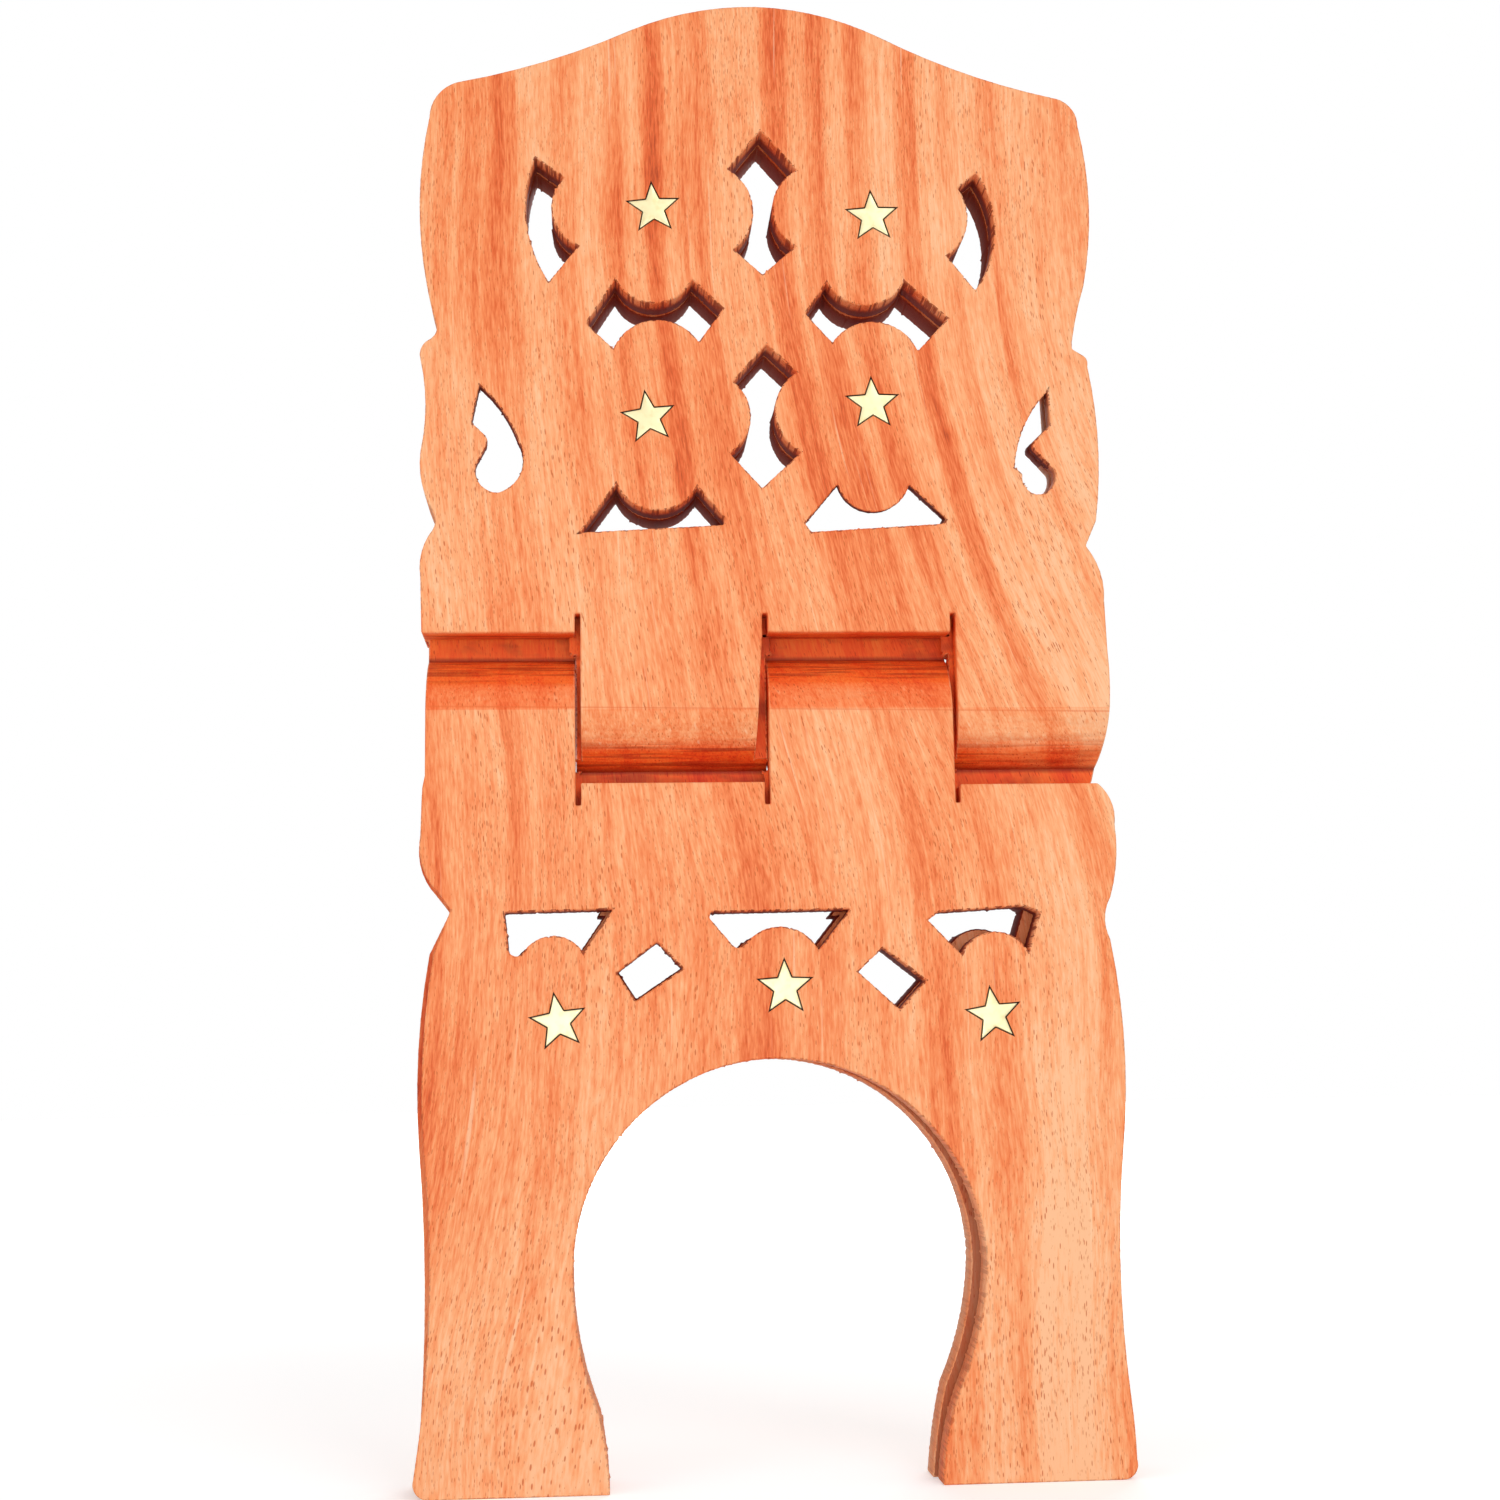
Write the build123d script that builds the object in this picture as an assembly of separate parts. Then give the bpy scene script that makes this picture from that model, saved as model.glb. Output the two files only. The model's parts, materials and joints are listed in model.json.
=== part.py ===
from build123d import *
import os
from math import cos, pi, radians, sin

# A folding book stand (rehal) carved from one plank, in millimetres, folded flat and standing on its feet.
# X runs across the stand, the front faces -Y and Z is up. The origin is on the floor under the plank's middle.
# The plank is sawn through its thickness into two boards that cross at a carved finger hinge with no pin:
#   front_rest_board is the front book rest above the hinge and the rear legs below it,
#   rear_rest_board is the rear book rest above the hinge and the front legs below it.
# Both outer faces carry thin brass stars, each glued into a pocket of its own.

# ---- Driving dimensions ----
PLANK_THICKNESS = 25.4
SAW_KERF = 2.4  # the cut that parts the two boards
HINGE_Z = 242.5  # height of the hinge axis
KNUCKLE_RISE = 18.5  # how far a knuckle's hollow side runs from the axis before it meets the saw kerf
KNUCKLE_BULGE = 3.0  # how far that side bows out from a straight bevel
SLIT_WIDTH = 1.8  # slits between the four fingers, as they show on both faces
SLIT_DEPTH = 8.7  # how deep they are that wide
FINGER_GAP = 0.2  # how far apart the fingers are between the two slits
WEB_WIDTH = 1.6  # of wood left in each corner of a finger's gap, between the slits, where no finger passes
WEB_START = 19.3  # above and below the axis
SLIT_TOP = 31.5  # how far each slit runs above the axis
SLIT_BOTTOM = 31.0  # and below it
REST_EDGE = 25.2  # lower edge of each book rest, above the axis
LEG_EDGE = 25.0  # upper edge of each pair of legs, below the axis, at the outer fingers
INNER_LEG_EDGE = 23.8  # and at the second and third fingers
FINGER_EDGES = (-61.0, -0.4, 61.2)  # the slits' middles, across the stand
SLANT = 3.0  # how much the second finger narrows towards its foot
SHOULDER = 4.0  # the left edge slopes out from the first finger to the legs over this height
STAR_RADIUS = 8.8
STAR_NOTCH = 0.43  # inner radius over outer radius
STAR_THICKNESS = 1.5
POCKET_RADIUS = 9.6  # of a star's pocket, which leaves glue all round the star

# The saw leaned as it went through the legs. This is how far it came out to the left, and up, in the rear ones.
ARCH_LEAN = 2.6  # on the arch's right side
EDGE_LEAN = 2.5  # on the left edge
SWAG_LEAN = (3.0, 1.8)
DIAMOND_LEAN = (-0.4, 1.2)
SWAG_SAG = 1.5  # how much lower the rear legs' first two swags hang

# It leaned more in three of the rests' holes: how far right, and up, it came out at the rear of the plank.
LEFT_COMMA_LEAN = (-1.2, 6.6)
RIGHT_COMMA_LEAN = (2.4, 5.0)
RIGHT_PEAKS_LEAN = (2.6, 6.2)

HALF_WIDTH = 112.4  # of the plank
HALF = PLANK_THICKNESS / 2
KERF = SAW_KERF / 2
BEYOND = 40.0  # how far a cutting shape runs past the plank

# Places of the stars: across, up, and the turn of each in degrees.
REST_STARS = ((-35.2, 411.8, 4), (38.1, 409.6, 3), (-37.4, 339.6, 8), (36.6, 344.6, 2))
LEG_STARS = ((-67.6, 143.2, 9), (4.0, 153.0, 1), (70.4, 143.4, 7))


def outline(start, *steps):
    """A closed face in the XZ plane. A step of one point is a straight cut, of two an arc through the first."""
    edges = []
    here = start
    for step in (*steps, (start,)):
        points = [(x, 0, z) for x, z in (here, *step)]
        if step[-1] != here:
            edges.append(Line(*points) if len(points) == 2 else ThreePointArc(*points))
        here = step[-1]
    return Face(Wire(edges))


def through(face, depth=PLANK_THICKNESS + 2 * BEYOND):
    """The face carried through the plank's thickness, centred on it."""
    return extrude(face, amount=depth / 2, dir=(0, 1, 0), both=True)


# ---- The plank's outline, sawn before the boards are parted ----
CROWN = (0, 484)
CROWN_RIGHT, CROWN_LEFT = (42, 473.8), (-42, 474.9)
ARCH_CENTRE, ARCH_RADIUS = (1.2, 66.3), 64.5
ARCH_RIGHT = (ARCH_CENTRE[0] + ARCH_RADIUS, ARCH_CENTRE[1])
ARCH_TOP = (ARCH_CENTRE[0], ARCH_CENTRE[1] + ARCH_RADIUS)
ARCH_LEFT = (ARCH_CENTRE[0] - ARCH_RADIUS, ARCH_CENTRE[1])

# From the crown down the right side to the floor.
RIGHT_SIDE = (
    ((24, 480.6), CROWN_RIGHT),
    ((74, 460.2), (101, 452.8)),
    ((106.5, 450), (109.2, 443)),
    ((112, 418), (109, 386)),
    ((106.2, 376), (104.3, 366.5)),
    ((104.2, 364),),
    ((107.4, 362),),
    ((108.8, 360.8), (109.2, 358)),
    ((111.8, 328), (110, 305)),
    ((106.2, 296.5),),
    ((110.3, 289), (111.6, 278)),
    ((112, 262),),
    ((112, 242), (108.2, 220)),
    ((107, HINGE_Z - LEG_EDGE),),
    ((111, 212), (112, 204)),
    ((111.9, 191), (109.6, 180.5)),
    ((107.6, 173.8), (109, 167)),
    ((112, 140), (110.4, 100)),
    ((108, 62), (109.8, 24)),
    ((110.6, 14), (110.8, 6)),
    ((109.9, 1.6), (106.5, 0)),
)


def arch(lean):
    """Up the inner edge of the right leg, round the arch and down the left leg."""
    return (
        ((50 - lean / 2, 0),),
        ((51.6 - lean / 2, 13), (56 - lean, 28)),
        ((62.6 - lean, 46), (ARCH_RIGHT[0] - lean, ARCH_RIGHT[1])),
        (ARCH_TOP, ARCH_LEFT),
        ((-61.2, 43), (-55, 22)),
        ((-53.2, 11), (-52.3, 0)),
    )


def left_leg(lean):
    """Up the left edge, from the floor to the legs' upper edge."""
    return (
        ((-107.5, 0),),
        ((-110.9, 1.6), (-111.9, 6)),
        ((-107.3 - lean, 62), (-109.3 - lean, 104)),
        ((-109.8 - lean, 134), (-106.4 - lean, 165.5)),
        ((-101.2 - lean / 2, 178.8),),
        ((-105.4 - lean / 2, 184.2),),
        ((-109.6 - lean / 2, 190.7), (-110.8 - lean / 2, 203)),
        ((-110.4 - lean / 2, HINGE_Z - LEG_EDGE),),
    )


# From there up to the crown. The first finger is pared a little narrower than the boards.
LEFT_SIDE = (
    ((-109.6, HINGE_Z - LEG_EDGE + SHOULDER),),
    ((-109.6, HINGE_Z + REST_EDGE),),
    ((-111, HINGE_Z + REST_EDGE),),
    ((-111.4, 286),),
    ((-110.6, 296), (-107.4, 302)),
    ((-106.8, 304.3), (-107.3, 307.2)),
    ((-110.6, 315), (-111.6, 328)),
    ((-110.2, 347), (-111.9, 359.5)),
    ((-111.4, 363.3), (-109.3, 365.6)),
    ((-106.8, 368.3), (-107, 372)),
    ((-108.2, 376.5), (-109.8, 384)),
    ((-112.4, 413), (-109.3, 443)),
    ((-106.6, 450.8), (-100.5, 455.2)),
    ((-72, 462.8), CROWN_LEFT),
    ((-24, 481.1), CROWN),
)

# ---- Fretwork, cut right through both boards ----
REST_FRETWORK = (
    # keyhole with two spear points at the top, then the one below it
    outline((1, 439.5), ((13, 425.7),), ((4.6, 412.3), (12, 398.8)), ((1, 389),),
            ((-8.6, 397.6),), ((-1.8, 412), (-10, 425.7))),
    outline((1.8, 364.8), ((11.6, 355.2),), ((4.2, 341.6), (12.6, 328)), ((-0.4, 315.8),),
            ((-10.8, 327.5),), ((-3.8, 341.5), (-9.3, 352))),
    # crescents at the sides
    outline((-74.3, 429), ((-64.8, 422),), ((-69, 410.8), (-60.2, 398.2)), ((-70, 385.8),),
            ((-77.2, 407), (-74.3, 429))),
    outline((73.8, 425.5), ((79.3, 407), (72.3, 384.2)), ((63, 396),),
            ((70.4, 408.5), (67.4, 420))),
    # pairs of diamonds joined between two medallions
    outline((-57.6, 371.6), ((-48, 386.6),), ((-35.5, 378.6), (-22.5, 387)), ((-12.4, 377),),
            ((-20.6, 365.5),), ((-34.8, 373), (-48.8, 363))),
    outline((15, 375.6), ((22.3, 386.4),), ((36, 378.5), (48.3, 387)), ((62.6, 374.2),),
            ((52.3, 363),), ((37.5, 373), (23.8, 365.6))),
    # the left one of the twin peaks above the hinge
    outline((-60, 300.8), ((-48.2, 317),), ((-36.5, 308.3), (-21.7, 316.2)), ((-12.9, 305.6),),
            ((-13.3, 303.4),)),
)
# commas near the edges, and the right one of the twin peaks
LEFT_COMMA = outline(
    (-92.6, 350.2), ((-85.3, 342), (-79.8, 331)), ((-79.4, 320), (-86.5, 314)), ((-92.6, 317.2), (-93.7, 323)),
    ((-90.4, 329.2),), ((-90.1, 331.8), (-91, 333.6)), ((-95.2, 337.6),),
)
RIGHT_COMMA = outline(
    (95.4, 349.3), ((95.8, 337.5),), ((90.5, 332.3),), ((89.7, 330.2), (90.9, 328.4)), ((96.6, 322),),
    ((95.5, 316), (90, 313.9)), ((86.6, 316.5), (86, 320.8)), ((83.4, 323),), ((87.6, 338.2), (95.4, 349.3)),
)
RIGHT_PEAKS = outline(
    (13.3, 303.8), ((24.3, 317),), ((35.3, 307.8), (48, 317)), ((60.2, 305.4),), ((59, 303.8),), ((15.5, 301),),
)
# swags under the hinge
SWAGS = (
    outline((-84.5, 177.8), ((-50.2, 178.4),), ((-59.6, 164.6),), ((-69.2, 170.2), (-78.5, 165)),
            ((-81.3, 163.9), (-83.3, 166.2))),
    outline((-19.3, 177.1), ((25.4, 177.6),), ((15, 164.6),), ((4, 172.2), (-8.5, 166.6)),
            ((-11, 165.7), (-12.8, 167)), ((-19.7, 175.2),)),
    outline((50.2, 173.8), ((54, 176.4),), ((82, 178),), ((86.4, 175.8),), ((82.3, 163.2),),
            ((70.5, 169.8), (60.8, 162.6))),
)
# the two small diamonds between them
DIAMONDS = (
    outline((-36.2, 167.9), ((-28.3, 159.3),), ((-43.3, 149.3),), ((-49.1, 158.3),)),
    outline((35.6, 165.2), ((49, 154.6),), ((40.5, 145.6),), ((27.4, 157.6),)),
)

# ---- The two boards ----


def upright(left, right, low, high, slant=0.0):
    """A four-sided face between two heights about the axis. slant moves its lower left corner out."""
    low, high = HINGE_Z + low, HINGE_Z + high
    return outline((left - slant, low), ((left, high),), ((right, high),), ((right, low),))


def from_both_faces(face, depth):
    """The face carried into the plank to one depth from its front and its rear."""
    return through(face) - through(face, PLANK_THICKNESS - 2 * depth)


def slits():
    """The three slits cut into both faces between the fingers."""
    half = SLIT_WIDTH / 2
    return [
        from_both_faces(upright(x - half, x + half, -SLIT_BOTTOM, SLIT_TOP), SLIT_DEPTH) for x in FINGER_EDGES
    ]


def windows(spans, leg_edges, extra, slants):
    """The gaps in a board for the other's fingers, from its legs' upper edge to its rest's lower edge.
    extra is how much wider each gap is near the two faces than it is between them, on either side."""
    gaps = []
    for (left, right), leg_edge, slant in zip(spans, leg_edges, slants):
        gaps.append(through(upright(left, right, -WEB_START, WEB_START)))
        gaps.append(through(upright(left + WEB_WIDTH, right - WEB_WIDTH, -leg_edge, REST_EDGE)))
        wide = upright(left - extra, right + extra, -leg_edge, REST_EDGE, slant)
        gaps.append(from_both_faces(wide, SLIT_DEPTH))
    return gaps


def band():
    """The front rest board's side view: a front leaf above the axis that passes through to a rear leaf below."""
    run = HALF + KERF
    bow_y = KNUCKLE_BULGE * KNUCKLE_RISE / (run**2 + KNUCKLE_RISE**2) ** 0.5
    bow_z = KNUCKLE_BULGE * run / (run**2 + KNUCKLE_RISE**2) ** 0.5
    middle_y, middle_z = (HALF - KERF) / 2 + bow_y, KNUCKLE_RISE / 2 + bow_z
    above, below = CROWN[1] + BEYOND - HINGE_Z, -BEYOND - HINGE_Z

    def at(y, z):
        return (0, y, HINGE_Z + z)

    edges = [
        Line(at(-HALF, above), at(-HALF, 0)),
        ThreePointArc(at(-HALF, 0), at(-middle_y, -middle_z), at(KERF, -KNUCKLE_RISE)),
        Line(at(KERF, -KNUCKLE_RISE), at(KERF, below)),
        Line(at(KERF, below), at(HALF, below)),
        Line(at(HALF, below), at(HALF, 0)),
        ThreePointArc(at(HALF, 0), at(middle_y, middle_z), at(-KERF, KNUCKLE_RISE)),
        Line(at(-KERF, KNUCKLE_RISE), at(-KERF, above)),
        Line(at(-KERF, above), at(-HALF, above)),
    ]
    return extrude(Face(Wire(edges)), amount=HALF_WIDTH + BEYOND, dir=(1, 0, 0), both=True)


def star(x, z, turn, radius):
    """A five-pointed star in the XZ plane, turned anticlockwise as the front sees it."""
    tips = []
    for k in range(10):
        angle = pi / 2 + radians(turn) + k * pi / 5
        reach = radius * STAR_NOTCH if k % 2 else radius
        tips.append((x + reach * cos(angle), z + reach * sin(angle)))
    return outline(tips[0], *[(tip,) for tip in tips[1:]])


def inlay(place, side, radius):
    """A star's plate, flush with the front face for side -1 and with the rear face for side 1."""
    plate = extrude(star(*place, radius), amount=STAR_THICKNESS, dir=(0, -side, 0))
    return Pos(0, side * HALF, 0) * plate


def plan(lean):
    """The plank's outline and fretwork. lean is 0 where the saw went into the legs and 1 where it came out."""
    face = outline(CROWN, *RIGHT_SIDE, *arch(lean * ARCH_LEAN), *left_leg(lean * EDGE_LEAN), *LEFT_SIDE)
    for holes, (left, up) in ((REST_FRETWORK, (0, 0)), (SWAGS, SWAG_LEAN), (DIAMONDS, DIAMOND_LEAN)):
        for hole in holes:
            face -= Pos(-lean * left, 0, lean * up) * hole
    for hole in SWAGS[:2]:
        face -= Pos(-lean * SWAG_LEAN[0], 0, -lean * SWAG_SAG) * hole
    return face


def leaning(hole, right, up):
    """A hole carried on through the plank from its front face, to come out that far right and up at its rear."""
    before = Pos(-right, -HALF - PLANK_THICKNESS, -up) * hole
    return extrude(before, amount=3.5 * PLANK_THICKNESS, dir=(right, PLANK_THICKNESS, up))


def board(side_view, lean, gaps, rest_side):
    """One board: the plan at one lean, kept where the side view is, less the gaps for the other board's fingers,
    with a pocket for each star. rest_side is -1 if its rest is the front one, or 1."""
    shape = through(plan(lean)) & side_view
    leaning_holes = (
        leaning(LEFT_COMMA, *LEFT_COMMA_LEAN),
        leaning(RIGHT_COMMA, *RIGHT_COMMA_LEAN),
        leaning(RIGHT_PEAKS, *RIGHT_PEAKS_LEAN),
    )
    for cut in (*gaps, *slits(), *leaning_holes):
        shape -= cut
    for place in REST_STARS:
        shape -= inlay(place, rest_side, POCKET_RADIUS)
    for place in LEG_STARS:
        shape -= inlay(place, -rest_side, POCKET_RADIUS)
    return shape


first, second, third = FINGER_EDGES
edge = SLIT_WIDTH / 2  # from a slit's middle to the second board's finger, which stands plumb
near = edge - FINGER_GAP  # and to the first board's, between the slits
outside = HALF_WIDTH + BEYOND
front_band = band()
rear_band = mirror(front_band, about=Plane.XZ)

# The first and third fingers belong to the rear rest board, and fill the gaps of the front rest board.
front_rest_board = board(
    front_band,
    lean=1,
    gaps=windows(
        spans=[(-outside, first - near), (second + near, third - near)],
        leg_edges=(LEG_EDGE, INNER_LEG_EDGE),
        extra=edge + near,
        slants=(0.0, SLANT),
    ),
    rest_side=-1,
)
rear_rest_board = board(
    rear_band,
    lean=0,
    gaps=windows(
        spans=[(first - edge, second + edge), (third - edge, outside)],
        leg_edges=(INNER_LEG_EDGE, LEG_EDGE),
        extra=0.0,
        slants=(0.0, 0.0),
    ),
    rest_side=1,
)

# ---- Files ----
os.makedirs("parts", exist_ok=True)
export_step(front_rest_board, "parts/front_rest_board.step")
export_step(rear_rest_board, "parts/rear_rest_board.step")
for face_name, side in (("front", -1), ("rear", 1)):
    for place_name, places in (("rest", REST_STARS), ("leg", LEG_STARS)):
        for number, place in enumerate(places, 1):
            export_step(inlay(place, side, STAR_RADIUS), f"parts/{face_name}_{place_name}_star_{number}.step")
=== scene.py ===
import json
from math import ceil, pi, radians
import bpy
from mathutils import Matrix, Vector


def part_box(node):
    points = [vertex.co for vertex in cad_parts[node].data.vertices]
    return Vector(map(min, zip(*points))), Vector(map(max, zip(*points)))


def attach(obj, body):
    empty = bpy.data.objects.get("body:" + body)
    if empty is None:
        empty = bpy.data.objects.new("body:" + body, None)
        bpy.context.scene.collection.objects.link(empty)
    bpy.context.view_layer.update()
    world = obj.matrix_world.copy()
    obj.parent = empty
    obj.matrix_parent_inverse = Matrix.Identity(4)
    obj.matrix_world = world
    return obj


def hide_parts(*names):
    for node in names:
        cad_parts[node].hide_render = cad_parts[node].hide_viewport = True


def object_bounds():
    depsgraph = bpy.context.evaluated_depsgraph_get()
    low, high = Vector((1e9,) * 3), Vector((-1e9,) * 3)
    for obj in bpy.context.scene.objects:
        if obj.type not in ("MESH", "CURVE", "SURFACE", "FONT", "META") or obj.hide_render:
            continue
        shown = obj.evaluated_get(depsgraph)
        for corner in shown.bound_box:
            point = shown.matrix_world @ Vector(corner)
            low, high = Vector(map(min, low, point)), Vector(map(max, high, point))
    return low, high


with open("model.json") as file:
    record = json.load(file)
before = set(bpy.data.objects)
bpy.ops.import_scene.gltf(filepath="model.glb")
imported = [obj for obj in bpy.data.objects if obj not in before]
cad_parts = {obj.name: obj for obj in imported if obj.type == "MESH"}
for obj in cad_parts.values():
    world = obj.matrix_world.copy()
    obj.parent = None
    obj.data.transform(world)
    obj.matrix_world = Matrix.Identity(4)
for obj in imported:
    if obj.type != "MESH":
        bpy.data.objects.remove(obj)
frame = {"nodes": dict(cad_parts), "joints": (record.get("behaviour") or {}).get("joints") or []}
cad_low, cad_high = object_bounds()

from types import SimpleNamespace

import bmesh
import bpy
import numpy as np
from mathutils import Vector
from mathutils.geometry import delaunay_2d_cdt

# ----------------------------------------------------------------------------------------------------
# The two boards, each one piece of sheesham: a plank fret-sawn to its outline, sawn through its thickness
# into two leaves and carved into fingers at the hinge. The cut-outs keep the ridges of the fret saw, the
# fingers keep the marks of the chisel, and sandpaper has taken off every arris.
MM = 0.001
ARRIS = 0.45 * MM  # how much of every edge the sandpaper takes off
BORDER = 1.3 * ARRIS  # width of the strip of each flat that holds its arris
BORDER_SLANT = 0.6  # at a corner, a border is drawn in by no more than its width over this
SAW_STEP = 0.6 * MM  # spacing of the points along a sawn edge
SAW_PITCH = 1.45 * MM  # of the ridges that the fret saw left
SAW_DEPTH = 0.09 * MM  # their height in the cut-outs
RUBBED_DEPTH = 0.03 * MM  # and on the outer edge, where they are nearly rubbed away
SAW_LEAN = 0.22  # how far the ridges lean as they pass through the plank
# The ridges are the sum of three ripples, each given as its turns along X and Z, its lean and its height.
RIPPLES = ((0.92, 0.39, 1.0, 1.0), (0.35, -0.94, 1.0, 1.0), (0.61, 0.61, 1.22, 0.7))
OUTER_EDGE = 96 * MM  # past this far from the middle, a wall is the plank's outer edge
CROWN_EDGE = 448 * MM  # and above this height
ARCH_HEIGHT = 66.3 * MM  # of the middle of the arch's round
ARCH_CROWN = 140 * MM  # every wall below this height that isn't the outer edge is the arch's
OUTER_SAWN = 0.35  # how much of the saw's work still shows on the outer edge, which was sanded
ARCH_SAWN = 0.45  # and in the arch
CARVED_REACH = 32 * MM  # above and below the axis, everything is carved
CREASE = 18.5 * MM  # above and below the axis, where each finger's rounded side meets the kerf
SAME_POINT = 0.001 * MM  # points nearer than this are one
SAME_SPOT = 1e-7  # and for the corners of the flats' triangles
SAME_PLANE = 0.01 * MM  # flats nearer than this lie in one plane
ONE_FACE = radians(0.3)  # faces that meet at less than this are one
RUBBED_EDGE = radians(25)  # an edge that turns by more than this has an arris
SHADED_EDGE = radians(38)  # and by more than this, once rubbed, it still looks sharp
SQUARE_ON = 0.999  # how much of a flat's normal lies along Y

hinge_z = frame["joints"][0]["pos_m"][2]
half_plank = cad_high.y
OUTER_FACE = 0.95 * half_plank  # a flat further from the middle than this is an outer face
KERF_FACE = 0.5 * half_plank  # and a flat nearer to it than this lies in the kerf

POCKETS = [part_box(name) for name in frame["nodes"] if "star" in name]
POCKET_MARGIN = 1.0 * MM  # how far past its star an edge still belongs to the pocket
WALL_MARGIN = 0.7 * MM  # and a face


def in_pocket(point, margin=POCKET_MARGIN):
    """True if the point lies inside the box round one of the stars, with a margin."""
    return any(
        all(low[i] - margin <= point[i] <= high[i] + margin for i in range(3)) for low, high in POCKETS
    )


def level(face):
    """The depth of a face that lies square to the plank's thickness, or None for any other face."""
    depths = [vertex.co.y for vertex in face.verts]
    return depths[0] if max(depths) - min(depths) < SAME_POINT else None


def divide_rims(bm):
    """Divides every edge between a flat and a wall into steps of one size, so that the saw's ridges can be
    cut into it."""
    rims = {}
    for edge in bm.edges:
        flats = [level(face) is not None for face in edge.link_faces]
        if any(flats) and not all(flats) and not all(in_pocket(v.co) for v in edge.verts):
            steps = ceil(edge.calc_length() / SAW_STEP)
            rims.setdefault(steps - 1, []).append(edge)
    for cuts, edges in sorted(rims.items()):
        if cuts:
            bmesh.ops.subdivide_edges(bm, edges=edges, cuts=cuts)
    bm.normal_update()


def on_outer_edge(point):
    """True on the plank's own outline, and False in a cut-out or the arch."""
    return abs(point.x) > OUTER_EDGE or point.z > CROWN_EDGE or point.z < MM


def cut_ridges(bm):
    """Moves the points of the walls in and out by a ripple that runs through the thickness: the sum of three
    sines across X and Z, each leaning a little with Y, so that no two ridges are alike."""
    moves = []
    for vertex in bm.verts:
        walls = [face.normal for face in vertex.link_faces if level(face) is None]
        by_flat = any(level(face) is not None for face in vertex.link_faces)
        x, y, z = vertex.co
        if not walls or not by_flat or in_pocket(vertex.co) or abs(z - hinge_z) < CARVED_REACH:
            continue
        outward = sum(walls, Vector()).normalized()
        depth = RUBBED_DEPTH if on_outer_edge(vertex.co) else SAW_DEPTH
        moves.append((vertex.index, outward.x, outward.z, x, y, z, depth))
    index, way_x, way_z, x, y, z, depth = np.array(moves).T
    wave = 2 * pi / SAW_PITCH
    ripple = sum(
        height * np.sin(wave * (along_x * x + along_z * z + lean * SAW_LEAN * y))
        for along_x, along_z, lean, height in RIPPLES
    )
    shift = depth * ripple * 0.5
    bm.verts.ensure_lookup_table()
    for i, move_x, move_z in zip(index.astype(int), shift * way_x, shift * way_z):
        bm.verts[i].co += Vector((move_x, 0, move_z))


def inside_outline(points, starts, ends):
    """For each point, True if a line from it to the right crosses the outline an odd number of times."""
    x, z = points[:, :1], points[:, 1:]
    straddles = (starts[:, 1] > z) != (ends[:, 1] > z)
    rise = np.where(starts[:, 1] == ends[:, 1], 1, ends[:, 1] - starts[:, 1])
    crossing = starts[:, 0] + (z - starts[:, 1]) * (ends[:, 0] - starts[:, 0]) / rise
    return (straddles & (x < crossing)).sum(axis=1) % 2 == 1


def refill_flats(bm):
    """Fills each flat anew: a narrow border along its rims, where the arrises will be, and triangles inside
    it."""
    planes = {}
    for face in bm.faces:
        y = level(face)
        if y is not None and (abs(y) > OUTER_FACE or abs(y) < KERF_FACE):
            planes.setdefault(round(y / SAME_PLANE), []).append(face)
    for _, faces in sorted(planes.items()):
        flat = set(faces)
        edges = {edge for face in faces for edge in face.edges}
        rims = [edge for edge in edges if len(flat & set(edge.link_faces)) == 1]
        corners = sorted({v for edge in rims for v in edge.verts}, key=lambda v: v.index)
        number = {vertex: i for i, vertex in enumerate(corners)}
        y = corners[0].co.y
        facing = np.sign(y) if abs(y) > KERF_FACE else -np.sign(y)
        borders = []
        for vertex in corners:
            walls = [face.normal for face in vertex.link_faces if face not in flat]
            sides = [Vector((normal.x, 0, normal.z)) for normal in walls]
            sides = [side.normalized() for side in sides if side.length > 0.1]
            outward = sum(sides, Vector()).normalized()
            slant = max(BORDER_SLANT, min(outward.dot(side) for side in sides))
            borders.append(vertex.co - outward * BORDER / slant)
        bmesh.ops.delete(bm, geom=faces, context="FACES_ONLY")
        inner = [bm.verts.new(border) for border in borders]
        for edge in sorted(rims, key=lambda e: (number[e.verts[0]], number[e.verts[1]])):
            a, b = edge.verts
            strip = bm.faces.new((a, b, inner[number[b]], inner[number[a]]))
            strip.normal_update()
            if strip.normal.y * facing < 0:
                strip.normal_flip()
        pairs = np.array(sorted(sorted(number[v] for v in edge.verts) for edge in rims))
        given = np.array([(border.x, border.z) for border in borders])
        spots = [Vector(spot) for spot in given]
        spots, _, triangles, origins, _, _ = delaunay_2d_cdt(spots, pairs.tolist(), [], 0, SAME_SPOT)
        places = np.array([tuple(spot) for spot in spots])
        triangles = np.array(triangles)
        middles = places[triangles].mean(axis=1)
        kept = triangles[inside_outline(middles, given[pairs[:, 0]], given[pairs[:, 1]])]
        vertices = [
            inner[origin[0]] if origin else bm.verts.new((spot.x, y, spot.y))
            for spot, origin in zip(spots, origins)
        ]
        for triangle in kept[:, ::-1] if facing > 0 else kept:
            bm.faces.new([vertices[i] for i in triangle])
    loose = [edge for edge in bm.edges if not edge.link_faces]
    bmesh.ops.delete(bm, geom=loose, context="EDGES")
    bm.normal_update()
    bm.verts.index_update()


def new_object(name, mesh):
    """A mesh placed in the scene."""
    thing = bpy.data.objects.new(name, mesh)
    bpy.context.scene.collection.objects.link(thing)
    return thing


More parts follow.
